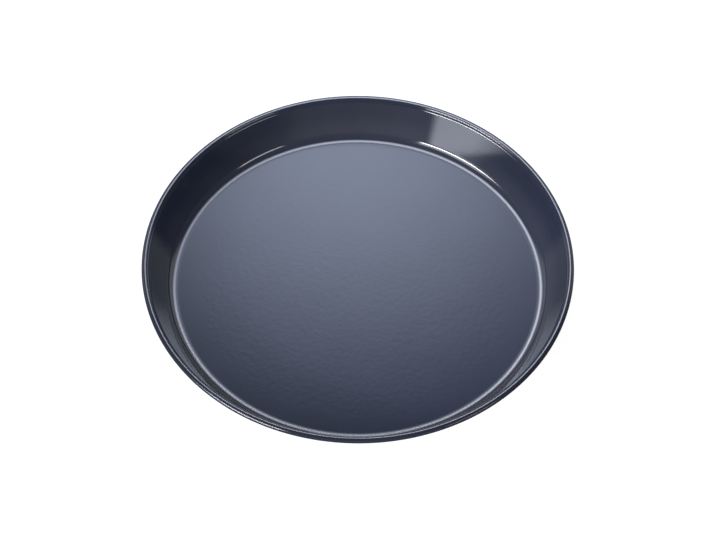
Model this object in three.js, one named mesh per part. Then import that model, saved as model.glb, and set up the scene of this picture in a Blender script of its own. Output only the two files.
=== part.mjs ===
// Round deep pizza pan: one sheet of steel, drawn into a flat floor and a flared wall with a stepped,
// rolled rim, and fired between an inside and an outside coat of vitreous enamel.
// Millimetres, +Z up. The origin is the centre of the underside, on the surface that the pan stands on.
import * as THREE from "three";

// The whole pan, over the enamel
const RIM_DIAMETER = 350; // across the rolled bead
const OVERALL_HEIGHT = 32.5; // from the table to the crest of the bead
const WALL_DRAFT = 30; // degrees that the wall leans outwards from upright

// The sheet and its coats
const STEEL_THICKNESS = 0.7;
const INSIDE_COAT = 0.25;
const OUTSIDE_COAT = 0.25;
const RAW_EDGE_COAT = 0.25; // enamel over the cut edge of the sheet, inside the roll
const BOND_LINE = 0.01; // hairline between steel and enamel, counted in the coat

// Bends, each measured on its hollow side, over the enamel
const FLOOR_BEND = 11; // from the floor up into the wall
const SHOULDER_BEND = 2.8; // from the wall out onto the ledge below the rim
const NECK_BEND = 0.7; // from the ledge up into the bead
const BEAD_BORE = 1.2; // radius of the hollow inside the rolled bead

// The stepped rim
const LEDGE_LENGTH = 0.8; // straight stretch between shoulder and neck
const LEDGE_RISE = 38; // degrees that the ledge climbs outwards from level
const NECK_RISE = 62; // degrees that the inner flank of the bead climbs from level
const BEAD_TUCK = 28; // degrees that the roll goes on past its lowest point, leaving a drain slot

// Fineness of the facets
const FACETS_AROUND = 60;
const RIM_FACET_TURN = 30.5; // most degrees that one facet of a bend in the rim may turn
const FLOOR_FACET_TURN = 14; // and one facet of the wide bend above the floor

// A heading is the way the sheet runs at a point: 0 is outwards and a quarter turn is straight up
const degrees = THREE.MathUtils.degToRad;
const QUARTER_TURN = Math.PI / 2;
const WALL_HEADING = QUARTER_TURN - degrees(WALL_DRAFT);
const LEDGE_HEADING = degrees(LEDGE_RISE);
const NECK_HEADING = degrees(NECK_RISE);
const CREST_HEADING = 0;
const OUTERMOST_HEADING = -QUARTER_TURN;
const LOWEST_HEADING = -2 * QUARTER_TURN;
const RAW_EDGE_HEADING = LOWEST_HEADING - degrees(BEAD_TUCK);

// Distances from the middle of the steel, positive towards the inside of the pan
const STEEL_INSIDE = STEEL_THICKNESS / 2;
const STEEL_OUTSIDE = -STEEL_THICKNESS / 2;
const INSIDE_BOND = STEEL_INSIDE + BOND_LINE;
const OUTSIDE_BOND = STEEL_OUTSIDE - BOND_LINE;
const INSIDE_FACE = STEEL_INSIDE + INSIDE_COAT;
const OUTSIDE_FACE = STEEL_OUTSIDE - OUTSIDE_COAT;

// The middle of the steel in half section, as stations with a place and a heading
class SheetPath {
  constructor(height) {
    this.stations = [{ radius: 0, height, heading: 0 }];
  }

  get end() {
    return this.stations.at(-1);
  }

  straight(length) {
    const { radius, height, heading } = this.end;
    this.stations.push({
      radius: radius + length * Math.cos(heading),
      height: height + length * Math.sin(heading),
      heading,
    });
    return this;
  }

  // An arc that starts along the sheet and turns it, towards the inside face where the heading grows
  bend(bendRadius, newHeading, facetTurn = RIM_FACET_TURN) {
    const { radius, height, heading } = this.end;
    const turn = newHeading - heading;
    const reach = bendRadius * Math.sign(turn);
    const facets = Math.ceil(Math.abs(turn) / degrees(facetTurn));
    for (let facet = 1; facet <= facets; facet += 1) {
      const along = heading + (turn * facet) / facets;
      this.stations.push({
        radius: radius + reach * (Math.sin(along) - Math.sin(heading)),
        height: height + reach * (Math.cos(heading) - Math.cos(along)),
        heading: along,
      });
    }
    return this;
  }
}

// A point beside a station, at a distance across the sheet and a distance on along it
function beside({ radius, height, heading }, across, along = 0) {
  return new THREE.Vector2(
    radius - across * Math.sin(heading) + along * Math.cos(heading),
    height + across * Math.cos(heading) + along * Math.sin(heading),
  );
}

// The sheet from the centre of the floor to its raw edge inside the rolled bead
function drawnSheet(floorRadius, wallLength) {
  const beadBend = BEAD_BORE - OUTSIDE_FACE;
  return new SheetPath(-OUTSIDE_FACE)
    .straight(floorRadius)
    .bend(FLOOR_BEND + INSIDE_FACE, WALL_HEADING, FLOOR_FACET_TURN)
    .straight(wallLength)
    .bend(SHOULDER_BEND - OUTSIDE_FACE, LEDGE_HEADING)
    .straight(LEDGE_LENGTH)
    .bend(NECK_BEND + INSIDE_FACE, NECK_HEADING)
    .bend(beadBend, CREST_HEADING)
    .bend(beadBend, OUTERMOST_HEADING)
    .bend(beadBend, LOWEST_HEADING)
    .bend(beadBend, RAW_EDGE_HEADING).stations;
}

// The wall is as long as the height asks, and the flat floor as wide as the rim then leaves it
function fittedSheet() {
  const crest = Math.max(...faceLine(drawnSheet(0, 0), INSIDE_FACE).map((point) => point.y));
  const wallLength = (OVERALL_HEIGHT - crest) / Math.sin(WALL_HEADING);
  const reach = Math.max(...faceLine(drawnSheet(0, wallLength), INSIDE_FACE).map((point) => point.x));
  return drawnSheet(RIM_DIAMETER / 2 - reach, wallLength);
}

// The line that one face of the sheet draws in half section, outwards from the axis
function faceLine(stations, across) {
  return stations.map((station) => beside(station, across));
}

// Half section of a layer that ends at the raw edge: out along one face and back along the other
function layerSection(stations, lowerFace, upperFace) {
  return [...faceLine(stations, lowerFace), ...faceLine(stations, upperFace).reverse()];
}

// The inside coat goes on round the raw edge, over the ends of the steel and of the outside coat
function insideCoatSection(stations) {
  const rawEdge = stations.at(-1);
  return [
    ...faceLine(stations.slice(0, -1), INSIDE_BOND),
    beside(rawEdge, INSIDE_BOND, BOND_LINE),
    beside(rawEdge, OUTSIDE_FACE, BOND_LINE),
    beside(rawEdge, OUTSIDE_FACE, RAW_EDGE_COAT),
    beside(rawEdge, INSIDE_FACE, RAW_EDGE_COAT),
    ...faceLine(stations, INSIDE_FACE).reverse(),
  ];
}

// A section turned about the upright axis of the pan
function turnedPiece(name, section, material) {
  const geometry = new THREE.LatheGeometry(section, FACETS_AROUND);
  geometry.rotateX(QUARTER_TURN);
  const piece = new THREE.Mesh(geometry, new THREE.MeshStandardMaterial(material));
  piece.name = name;
  return piece;
}

const ENAMEL = { color: 0x3d4252, roughness: 0.18, metalness: 0 };
const BARE_STEEL = { color: 0x9a9da3, roughness: 0.45, metalness: 1 };

const sheet = fittedSheet();
const pan = new THREE.Group();
pan.name = "pizza_pan";
pan.add(
  turnedPiece("steel_pressing", layerSection(sheet, STEEL_OUTSIDE, STEEL_INSIDE), BARE_STEEL),
  turnedPiece("inside_enamel", insideCoatSection(sheet), ENAMEL),
  turnedPiece("outside_enamel", layerSection(sheet, OUTSIDE_FACE, OUTSIDE_BOND), ENAMEL),
);

export default pan;
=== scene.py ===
"""Looks of a round deep pizza pan in glossy blue-grey enamel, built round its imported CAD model."""
import math

import bmesh
import bpy
from mathutils import Matrix, Vector


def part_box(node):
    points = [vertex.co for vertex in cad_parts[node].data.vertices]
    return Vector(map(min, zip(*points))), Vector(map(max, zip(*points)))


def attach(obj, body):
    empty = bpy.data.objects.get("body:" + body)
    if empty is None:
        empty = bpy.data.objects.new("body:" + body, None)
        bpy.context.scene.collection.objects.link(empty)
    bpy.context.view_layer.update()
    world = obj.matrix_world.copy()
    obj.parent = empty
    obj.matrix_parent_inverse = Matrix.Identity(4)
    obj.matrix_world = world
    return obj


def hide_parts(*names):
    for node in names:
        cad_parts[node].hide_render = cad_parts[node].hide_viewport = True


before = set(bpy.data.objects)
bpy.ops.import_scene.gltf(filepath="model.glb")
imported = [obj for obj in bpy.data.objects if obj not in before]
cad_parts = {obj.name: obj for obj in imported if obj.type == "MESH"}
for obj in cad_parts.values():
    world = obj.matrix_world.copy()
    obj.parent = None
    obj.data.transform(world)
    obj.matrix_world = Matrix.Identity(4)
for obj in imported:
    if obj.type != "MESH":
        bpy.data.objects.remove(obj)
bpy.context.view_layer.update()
MM = 0.001

# The whole pan, over the enamel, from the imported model
RIM_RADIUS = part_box("inside_enamel")[1].x
OVERALL_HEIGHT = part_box("inside_enamel")[1].z
WALL_DRAFT = math.radians(30)

# The sheet and its coats
STEEL_THICKNESS = 0.7 * MM
COAT = 0.25 * MM
BOND_LINE = 0.01 * MM

# Bends, each measured on its hollow side, over the enamel
FLOOR_BEND = 11 * MM
SHOULDER_BEND = 2.8 * MM
NECK_BEND = 0.7 * MM
BEAD_BORE = 1.2 * MM

# The stepped rim
LEDGE_LENGTH = 0.8 * MM
LEDGE_RISE = math.radians(38)
NECK_RISE = math.radians(62)
BEAD_TUCK = math.radians(28)

# Fineness of the surfaces
SEGMENTS_AROUND = 320
BEND_STEP = math.radians(4)
FLOOR_BEND_STEP = math.radians(2)
FLOOR_RINGS = 14
WALL_RINGS = 6
NOSE_STEPS = 12
EDGE_LOOP = 0.15 * MM
CREASE = math.radians(50)

# Distances from the middle of the steel, positive towards the inside of the pan
STEEL_FACE = STEEL_THICKNESS / 2
BOND_FACE = STEEL_FACE + BOND_LINE
COAT_FACE = STEEL_FACE + COAT

# The glass, deep blue grey, with faint clouds in its colour and in its gloss, in grains to the metre
ENAMEL = (0.0165, 0.0202, 0.0335)
GLASS_IOR = 1.5
INSIDE_ROUGHNESS = 0.08
OUTSIDE_ROUGHNESS = 0.1
CLOUD_GRAIN = 22
CLOUD_SPREAD = 0.07
HAZE_GRAIN = 60
HAZE_SPREAD = 0.1

# Pale rings painted into the enamel's colour, as painted highlights and painted light: radius, half width
# and share of the pale colour
PAINTED_HIGHLIGHT_COLOUR = (0.31, 0.32, 0.36)
# Painted light: a faint pale wash over the foot of the wall.
PAINTED_LIGHT_WALL_FOOT = (156 * MM, 9 * MM, 0.03)
# Painted highlight: a pale ring in the floor bend, in place of the bright line of light that runs round
# it.
PAINTED_HIGHLIGHT_FLOOR_BEND = (149.5 * MM, 1.6 * MM, 1)
# Painted highlight: a pale line of colour on the bead, in place of the reflection that runs along it.
PAINTED_HIGHLIGHT_BEAD = (172.0 * MM, 0.65 * MM, 0.8)

# The orange peel of the glass: its grains to the metre and its height, fading from the floor to the wall
PEEL_GRAIN = 230
PEEL_HEIGHT = 0.07 * MM
PEEL_FADE = (118 * MM, 144 * MM)
PEEL_ON_WALL = 0.12

# The bare steel, with streaks along X that are this many grains to the metre along and across
STEEL = (0.32, 0.33, 0.35)
STEEL_STREAKS = (30, 900, 900)
STEEL_ROUGHNESS = (0.35, 0.55)

# The softbox that hangs over the pan, with its light falling off from the middle to the edge
SOFTBOX_MIDDLE = Vector((-8, 440, 350)) * MM
SOFTBOX_REACH = (350 * MM, 405 * MM)
SOFTBOX_LIGHT = 4.45
SOFTBOX_COLOUR = (0.9, 1.0, 1.25)

# Far lights: bearing clockwise from the back, soft left, right, bottom and top edges, strength and colour
NEUTRAL = (1.0, 1.0, 1.03)
COOL = (0.95, 1.0, 1.12)
BLUE = (0.6, 0.9, 1.9)
ROOM_FILL = (0, (-200, -190), (190, 200), (-100, -95), (95, 100), 0.14, NEUTRAL)
BACK_PANEL = (0, (-66, -58), (58, 66), (4, 10), (34, 44), 1.0, NEUTRAL)
KEY_STRIP = (-131, (-19, -15), (10, 32), (17.5, 19), (22, 25), 60.0, NEUTRAL)
KEY_TOP = (-131, (-19, -15), (10, 32), (22, 25), (36, 42), 7.0, NEUTRAL)
KEY_FOOT = (-131, (-16, -11), (4, 30), (-8, -4), (8, 11), 5.2, COOL)
RIGHT_STRIP = (128, (-14, -10), (10, 14), (20, 21.5), (26.5, 29.5), 9.0, NEUTRAL)
FRONT_PANEL = (180, (-40, -25), (25, 40), (-10, 0), (12, 22), 0.25, NEUTRAL)
FAR_PANELS = (ROOM_FILL, BACK_PANEL, KEY_STRIP, KEY_TOP, KEY_FOOT, RIGHT_STRIP, FRONT_PANEL)

# A blue glow above the back: bearing, elevation, spread across and upwards in degrees, strength and colour
BACK_GLOW = (0, 55, 14, 7, 0.3, BLUE)

# The studio floor: how far it goes out from the pan's axis, and its paper, which glows a little
FLOOR_REACH = 4.0
FLOOR_GREY = 0.2
FLOOR_ROUGHNESS = 0.9
FLOOR_GLOW = 0.95

# The photograph's camera
IMAGE_WIDTH = 716
FOCAL_PIXELS = 3300
SENSOR_WIDTH = 36.0
CAMERA_TILT = math.radians(53.288)
CAMERA_ROLL = math.radians(0.461)
CAMERA_AIM = Vector((0.195, -7.095, 30.1)) * MM
CAMERA_DISTANCE = 2667.7 * MM


class SheetPath:
    """The middle of the steel in half section, as stations of radius, height and heading."""

    def __init__(self, height):
        self.stations = [(0.0, height, 0.0)]

    def straight(self, length, rings=1):
        """Runs straight on, with a close loop at each end so that the bends beside it stay crisp."""
        radius, height, heading = self.stations[-1]
        loop = min(EDGE_LOOP, length / 3)
        inner = [loop + (length - 2 * loop) * step / rings for step in range(rings + 1)]
        for along in [*inner, length]:
            place = (radius + along * math.cos(heading), height + along * math.sin(heading), heading)
            self.stations.append(place)
        return self

    def bend(self, bend_radius, new_heading, bend_step=BEND_STEP):
        """Turns on an arc, towards the inside face where the heading grows."""
        radius, height, heading = self.stations[-1]
        turn = new_heading - heading
        reach = math.copysign(bend_radius, turn)
        steps = max(3, math.ceil(abs(turn) / bend_step))
        for step in range(1, steps + 1):
            along = heading + turn * step / steps
            out = radius + reach * (math.sin(along) - math.sin(heading))
            up = height + reach * (math.cos(heading) - math.cos(along))
            self.stations.append((out, up, along))
        return self


def drawn_sheet(floor_radius, wall_length):
    """The sheet from the centre of the floor to its raw edge inside the rolled bead."""
    wall = math.pi / 2 - WALL_DRAFT
    bead_bend = BEAD_BORE + COAT_FACE
    path = SheetPath(COAT_FACE)
    path.straight(floor_radius, FLOOR_RINGS)
    path.bend(FLOOR_BEND + COAT_FACE, wall, FLOOR_BEND_STEP)
    path.straight(wall_length, WALL_RINGS)
    path.bend(SHOULDER_BEND + COAT_FACE, LEDGE_RISE)
    path.straight(LEDGE_LENGTH)
    path.bend(NECK_BEND + COAT_FACE, NECK_RISE)
    path.bend(bead_bend, 0)
    path.bend(bead_bend, -math.pi / 2)
    path.bend(bead_bend, -math.pi - BEAD_TUCK)
    return path.stations


def beside(station, across, along=0.0):
    """A point beside a station, at a distance across the sheet and a distance on along it."""
    radius, height, heading = station
    out = radius - across * math.sin(heading) + along * math.cos(heading)
    up = height + across * math.cos(heading) + along * math.sin(heading)
    return out, up


def face_line(stations, across):
    """The line that one face of the sheet draws in half section, outwards from the axis."""
    return [beside(station, across) for station in stations]


def fitted_sheet():
    """The wall is as long as the height asks, and the flat floor as wide as the rim then leaves it."""
    crest = max(up for out, up in face_line(drawn_sheet(0, 0), COAT_FACE))
    wall_length = (OVERALL_HEIGHT - crest) / math.cos(WALL_DRAFT)
    reach = max(out for out, up in face_line(drawn_sheet(0, wall_length), COAT_FACE))
    return drawn_sheet(RIM_RADIUS - reach, wall_length)


def layer_section(stations, lower, upper):
    """Half section of a layer that ends at the raw edge."""
    return face_line(stations, lower) + face_line(stations, upper)[::-1]


def inside_coat_section(stations):
    """Half section of the inside coat, with a rounded nose of glass over the raw edge."""
    edge = stations[-1]
    nose = []
    for step in range(NOSE_STEPS + 1):
        turn = math.pi * step / NOSE_STEPS
        nose.append(beside(edge, -COAT_FACE * math.cos(turn), COAT * math.sin(turn) + BOND_LINE))
    bonded = face_line(stations[:-1], BOND_FACE)
    under_nose = [beside(edge, BOND_FACE, BOND_LINE / 2), beside(edge, -COAT_FACE, BOND_LINE / 2)]
    return bonded + under_nose + nose + face_line(stations, COAT_FACE)[::-1]


def circle(radius, height):
    """The corners of a ring about the upright axis."""
    turns = [2 * math.pi * i / SEGMENTS_AROUND for i in range(SEGMENTS_AROUND)]
    return [(radius * math.cos(turn), radius * math.sin(turn), height) for turn in turns]


def turned_piece(name, section, material):
    """A closed mesh turned about the upright axis from a section that starts and ends on it."""
    mesh = bpy.data.meshes.new(name)
    shape = bmesh.new()
    rings = []
    for out, up in section:
        if out < 1e-9:
            rings.append([shape.verts.new((0, 0, up))])
            continue
        rings.append([shape.verts.new(corner) for corner in circle(out, up)])
    for first, second in zip(rings, rings[1:]):
        for i in range(SEGMENTS_AROUND):
            j = (i + 1) % SEGMENTS_AROUND
            corners = [first[i % len(first)], first[j % len(first)]]
            corners += [second[j % len(second)], second[i % len(second)]]
            face = shape.faces.new(dict.fromkeys(corners))
            face.smooth = True
    bmesh.ops.recalc_face_normals(shape, faces=shape.faces)
    shape.to_mesh(mesh)
    shape.free()
    mesh.materials.append(material)
    mesh.set_sharp_from_angle(angle=CREASE)
    piece = bpy.data.objects.new(name, mesh)
    bpy.context.scene.collection.objects.link(piece)
    return piece


def new_material(name):
    """A material with an empty tree, and its surface shader."""
    material = bpy.data.materials.new(name)
    material.use_nodes = True
    tree = material.node_tree
    return material, tree, tree.nodes["Principled BSDF"]


def noise(tree, scale, detail, place):
    """Fractal noise over the object, with its grain given in grains per metre."""
    node = tree.nodes.new("ShaderNodeTexNoise")
    node.inputs["Scale"].default_value = scale
    node.inputs["Detail"].default_value = detail
    tree.links.new(place, node.inputs["Vector"])
    return node.outputs["Fac"]


def mapped(tree, value, low, high, start=0.35, end=0.65):
    """A value from start to end, taken to low to high."""
    node = tree.nodes.new("ShaderNodeMapRange")
    node.interpolation_type = "SMOOTHSTEP"
    node.inputs["From Min"].default_value = start
    node.inputs["From Max"].default_value = end
    node.inputs["To Min"].default_value = low
    node.inputs["To Max"].default_value = high
    tree.links.new(value, node.inputs["Value"])
    return node.outputs["Result"]


def from_axis(tree, place):
    """How far a place is from the upright axis."""
    flat = tree.nodes.new("ShaderNodeVectorMath")
    flat.operation = "MULTIPLY"
    flat.inputs[1].default_value = (1, 1, 0)
    tree.links.new(place, flat.inputs[0])
    away = tree.nodes.new("ShaderNodeVectorMath")
    away.operation = "LENGTH"
    tree.links.new(flat.outputs["Vector"], away.inputs[0])
    return away.outputs["Value"]


def ring_mask(tree, place, radius, half_width, height):
    """A height on a circle about the upright axis, falling softly to 0 on both sides of it."""
    off = tree.nodes.new("ShaderNodeMath")
    off.operation = "SUBTRACT"
    off.inputs[1].default_value = radius
    tree.links.new(from_axis(tree, place), off.inputs[0])
    size = tree.nodes.new("ShaderNodeMath")
    size.operation = "ABSOLUTE"
    tree.links.new(off.outputs["Value"], size.inputs[0])
    return mapped(tree, size.outputs["Value"], height, 0, 0, half_width)


def blend(tree, mode, factor, first, second):
    """Two colours mixed, each given as a constant or as a socket."""
    node = tree.nodes.new("ShaderNodeMix")
    node.data_type = "RGBA"
    node.blend_type = mode
    for name, value in (("Factor", factor), ("A", first), ("B", second)):
        socket = next(s for s in node.inputs if s.name == name and s.enabled)
        if isinstance(value, bpy.types.NodeSocket):
            tree.links.new(value, socket)
        else:
            socket.default_value = value
    return next(s for s in node.outputs if s.enabled)


def enamel(name, colour, roughness, painted_highlights=False):
    """Fired glass over steel: a deep body, a clear gloss, a faint orange peel, and, when asked for, pale
    rings of painted highlight and painted light.
    """
    material, tree, shader = new_material(name)
    place = tree.nodes.new("ShaderNodeTexCoord").outputs["Object"]
    cloud = mapped(tree, noise(tree, CLOUD_GRAIN, 3, place), 1 - CLOUD_SPREAD, 1 + CLOUD_SPREAD)
    body = blend(tree, "MULTIPLY", 1, (*colour, 1), cloud)
    # Pale rings painted into the colour: painted highlights on the floor bend and the bead, and a faint
    # painted light on the foot of the wall.
    if painted_highlights:
        for ring in (PAINTED_LIGHT_WALL_FOOT, PAINTED_HIGHLIGHT_FLOOR_BEND, PAINTED_HIGHLIGHT_BEAD):
            body = blend(tree, "MIX", ring_mask(tree, place, *ring), body, (*PAINTED_HIGHLIGHT_COLOUR, 1))
    tree.links.new(body, shader.inputs["Base Color"])
    grain = noise(tree, HAZE_GRAIN, 2, place)
    haze = mapped(tree, grain, roughness * (1 - HAZE_SPREAD), roughness * (1 + HAZE_SPREAD))
    tree.links.new(haze, shader.inputs["Roughness"])
    shader.inputs["IOR"].default_value = GLASS_IOR
    peel = tree.nodes.new("ShaderNodeBump")
    peel.inputs["Strength"].default_value = 1
    peel.inputs["Distance"].default_value = PEEL_HEIGHT
    level = tree.nodes.new("ShaderNodeMath")
    level.operation = "SUBTRACT"
    level.inputs[1].default_value = 0.5
    tree.links.new(noise(tree, PEEL_GRAIN, 2, place), level.inputs[0])
    height = tree.nodes.new("ShaderNodeMath")
    height.operation = "MULTIPLY"
    tree.links.new(level.outputs["Value"], height.inputs[0])
    tree.links.new(mapped(tree, from_axis(tree, place), 1, PEEL_ON_WALL, *PEEL_FADE), height.inputs[1])
    tree.links.new(height.outputs["Value"], peel.inputs["Height"])
    tree.links.new(peel.outputs["Normal"], shader.inputs["Normal"])
    return material


def bare_steel():
    """Cold-rolled steel, with fine streaks along the way it was rolled."""
    material, tree, shader = new_material("bare_steel")
    shader.inputs["Metallic"].default_value = 1
    shader.inputs["Base Color"].default_value = (*STEEL, 1)
    stretch = tree.nodes.new("ShaderNodeMapping")
    stretch.inputs["Scale"].default_value = STEEL_STREAKS
    tree.links.new(tree.nodes.new("ShaderNodeTexCoord").outputs["Object"], stretch.inputs["Vector"])
    streaks = mapped(tree, noise(tree, 1, 3, stretch.outputs["Vector"]), *STEEL_ROUGHNESS)
    tree.links.new(streaks, shader.inputs["Roughness"])
    return material


class StudioSky:
    """The studio round the pan, as soft panels of light given by compass bearing and elevation."""

    def __init__(self, world):
        self.tree = world.node_tree
        self.direction = self.tree.nodes.new("ShaderNodeTexCoord").outputs["Generated"]
        apart = self.tree.nodes.new("ShaderNodeSeparateXYZ")
        self.tree.links.new(self.direction, apart.inputs["Vector"])
        self.elevation = self.sum("ARCSINE", apart.outputs["Z"])
        self.total = None

    def sum(self, operation, *values):
        """One Math node."""
        node = self.tree.nodes.new("ShaderNodeMath")
        node.operation = operation
        for socket, value in zip(node.inputs, values):
            if isinstance(value, (int, float)):
                socket.default_value = value
            else:
                self.tree.links.new(value, socket)
        return node.outputs["Value"]

    def along(self, axis):
        """How far the direction goes along an axis."""
        node = self.tree.nodes.new("ShaderNodeVectorMath")
        node.operation = "DOT_PRODUCT"
        node.inputs[1].default_value = axis
        self.tree.links.new(self.direction, node.inputs[0])
        return node.outputs["Value"]

    def ramp(self, value, zero, one):
        """0 to 1 as a value in radians goes between two angles in degrees."""
        node = self.tree.nodes.new("ShaderNodeMapRange")
        node.interpolation_type = "SMOOTHSTEP"
        node.inputs["From Min"].default_value = math.radians(zero)
        node.inputs["From Max"].default_value = math.radians(one)
        self.tree.links.new(value, node.inputs["Value"])
        return node.outputs["Result"]

    def off_bearing(self, bearing):
        """How far the direction is clockwise of a bearing, in radians."""
        turn = math.radians(bearing)
        ahead = self.along((math.sin(turn), math.cos(turn), 0))
        aside = self.along((math.cos(turn), -math.sin(turn), 0))
        return self.sum("ARCTAN2", aside, ahead)

    def band(self, value, low, high):
        """1 between two soft edges, each given as the angles in degrees where it starts and ends."""
        return self.sum("MULTIPLY", self.ramp(value, *low), self.ramp(value, high[1], high[0]))

    def panel(self, bearing, left, right, bottom, top, strength, colour):
        """A panel with four soft edges: its sides are clockwise of the bearing, all in degrees."""
        sides = self.band(self.off_bearing(bearing), left, right)
        mask = self.sum("MULTIPLY", sides, self.band(self.elevation, bottom, top))
        self.add(self.sum("MULTIPLY", mask, strength), colour)

    def glow(self, bearing, elevation, wide, tall, strength, colour):
        """A soft round glow, given by its middle and by its spread in degrees of bearing and elevation."""
        across = self.sum("DIVIDE", self.off_bearing(bearing), math.radians(wide))
        over = self.sum("SUBTRACT", self.elevation, math.radians(elevation))
        over = self.sum("DIVIDE", over, math.radians(tall))
        far = self.sum("ADD", self.sum("MULTIPLY", across, across), self.sum("MULTIPLY", over, over))
        fall = self.sum("EXPONENT", self.sum("MULTIPLY", far, -0.5))
        self.add(self.sum("MULTIPLY", fall, strength), colour)

    def add(self, value, colour):
        """Adds a value times a colour to the sky."""
        node = self.tree.nodes.new("ShaderNodeVectorMath")
        node.operation = "MULTIPLY_ADD"
        node.inputs[0].default_value = colour
        self.tree.links.new(value, node.inputs[1])
        if self.total is not None:
            self.tree.links.new(self.total, node.inputs[2])
        self.total = node.outputs["Vector"]

    def finish(self):
        """Lights the world, and leaves it plain white behind the pan."""
        background = self.tree.nodes["Background"]
        self.tree.links.new(self.total, background.inputs["Color"])
        plain = self.tree.nodes.new("ShaderNodeBackground")
        plain.inputs["Color"].default_value = (1, 1, 1, 1)
        pick = self.tree.nodes.new("ShaderNodeMixShader")
        seen = self.tree.nodes.new("ShaderNodeLightPath").outputs["Is Camera Ray"]
        self.tree.links.new(seen, pick.inputs["Fac"])
        self.tree.links.new(background.outputs["Background"], pick.inputs[1])
        self.tree.links.new(plain.outputs["Background"], pick.inputs[2])
        self.tree.links.new(pick.outputs["Shader"], self.tree.nodes["World Output"].inputs["Surface"])


def light_studio():
    """Backdrop, softboxes and fill of the studio."""
    world = bpy.data.worlds.new("studio")
    world.use_nodes = True
    bpy.context.scene.world = world
    sky = StudioSky(world)
    for panel in FAR_PANELS:
        sky.panel(*panel)
    sky.glow(*BACK_GLOW)
    sky.finish()


def hang_softbox():
    """The softbox over the pan, out of the camera's sight, as a sheet that only gives light."""
    wide, deep = SOFTBOX_REACH
    mesh = bpy.data.meshes.new("softbox")
    corners = [(-wide, -deep, 0), (wide, -deep, 0), (wide, deep, 0), (-wide, deep, 0)]
    mesh.from_pydata(corners, [], [(0, 1, 2, 3)])
    softbox = bpy.data.objects.new("softbox", mesh)
    softbox.location = SOFTBOX_MIDDLE
    bpy.context.scene.collection.objects.link(softbox)
    material, tree, shader = new_material("softbox_cloth")
    tree.nodes.remove(shader)
    shrink = tree.nodes.new("ShaderNodeMapping")
    shrink.vector_type = "TEXTURE"
    shrink.inputs["Scale"].default_value = (wide, deep, 1)
    tree.links.new(tree.nodes.new("ShaderNodeTexCoord").outputs["Object"], shrink.inputs["Vector"])
    fall = tree.nodes.new("ShaderNodeTexGradient")
    fall.gradient_type = "SPHERICAL"
    tree.links.new(shrink.outputs["Vector"], fall.inputs["Vector"])
    light = tree.nodes.new("ShaderNodeEmission")
    light.inputs["Color"].default_value = (*SOFTBOX_COLOUR, 1)
    tree.links.new(mapped(tree, fall.outputs["Fac"], 0, SOFTBOX_LIGHT, 0, 1), light.inputs["Strength"])
    both = tree.nodes.new("ShaderNodeAddShader")
    tree.links.new(light.outputs["Emission"], both.inputs[0])
    tree.links.new(tree.nodes.new("ShaderNodeBsdfTransparent").outputs["BSDF"], both.inputs[1])
    tree.links.new(both.outputs["Shader"], tree.nodes["Material Output"].inputs["Surface"])
    mesh.materials.append(material)
    softbox.visible_camera = False


def stage_floor(footprint):
    """A plain white floor, cut out under the flat underside, that the gloss of the pan leaves out."""
    corners = circle(footprint, 0) + circle(FLOOR_REACH, 0)
    faces = []
    for i in range(SEGMENTS_AROUND):
        j = (i + 1) % SEGMENTS_AROUND
        faces.append((i, i + SEGMENTS_AROUND, j + SEGMENTS_AROUND, j))
    mesh = bpy.data.meshes.new("studio_floor")
    mesh.from_pydata(corners, [], faces)
    floor = bpy.data.objects.new("studio_floor", mesh)
    bpy.context.scene.collection.objects.link(floor)
    material, tree, shader = new_material("white_paper")
    shader.inputs["Base Color"].default_value = (FLOOR_GREY, FLOOR_GREY, FLOOR_GREY, 1)
    shader.inputs["Roughness"].default_value = FLOOR_ROUGHNESS
    shader.inputs["Specular IOR Level"].default_value = 0
    shader.inputs["Emission Color"].default_value = (1, 1, 1, 1)
    shader.inputs["Emission Strength"].default_value = FLOOR_GLOW
    mesh.materials.append(material)
    floor.visible_glossy = False


def place_camera():
    """The photograph's camera: along +Y, down by the tilt, and turned a little about its own axis."""
    camera = bpy.data.objects.new("camera", bpy.data.cameras.new("camera"))
    bpy.context.scene.collection.objects.link(camera)
    camera.data.sensor_width = SENSOR_WIDTH
    camera.data.lens = FOCAL_PIXELS * SENSOR_WIDTH / IMAGE_WIDTH
    camera.data.clip_start = 0.01
    camera.data.clip_end = 50
    ahead = Vector((0, math.cos(CAMERA_TILT), -math.sin(CAMERA_TILT)))
    turn = Matrix.Rotation(math.pi / 2 - CAMERA_TILT, 4, "X") @ Matrix.Rotation(CAMERA_ROLL, 4, "Z")
    camera.matrix_world = Matrix.Translation(CAMERA_AIM - CAMERA_DISTANCE * ahead) @ turn
    bpy.context.scene.camera = camera


def flat_radius(sheet):
    """How far the flat underside goes out from the axis, up to where the floor bend starts."""
    return max(out for out, up, heading in sheet if heading == 0 and up == COAT_FACE)


def build_pan(sheet):
    """The steel pressing between its two coats, each a closed piece on the pan's one body."""
    pieces = {
        "steel_pressing": (layer_section(sheet, -STEEL_FACE, STEEL_FACE), bare_steel(), "bare_steel"),
        "inside_enamel": (
            inside_coat_section(sheet),
            # The inside coat carries the pale rings of painted highlight and painted light.
            enamel("inside_enamel", ENAMEL, INSIDE_ROUGHNESS, True),
            "inside_enamel",
        ),
        "outside_enamel": (
            layer_section(sheet, -COAT_FACE, -BOND_FACE),
            enamel("outside_enamel", ENAMEL, OUTSIDE_ROUGHNESS),
            "outside_enamel",
        ),
    }
    for node, (section, material, slot) in pieces.items():
        piece = turned_piece("turned_" + node, section, material)
        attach(piece, "root")
        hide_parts(node)


bpy.context.scene.view_settings.view_transform = "Standard"
pan_sheet = fitted_sheet()
build_pan(pan_sheet)
stage_floor(flat_radius(pan_sheet))
hang_softbox()
light_studio()
place_camera()
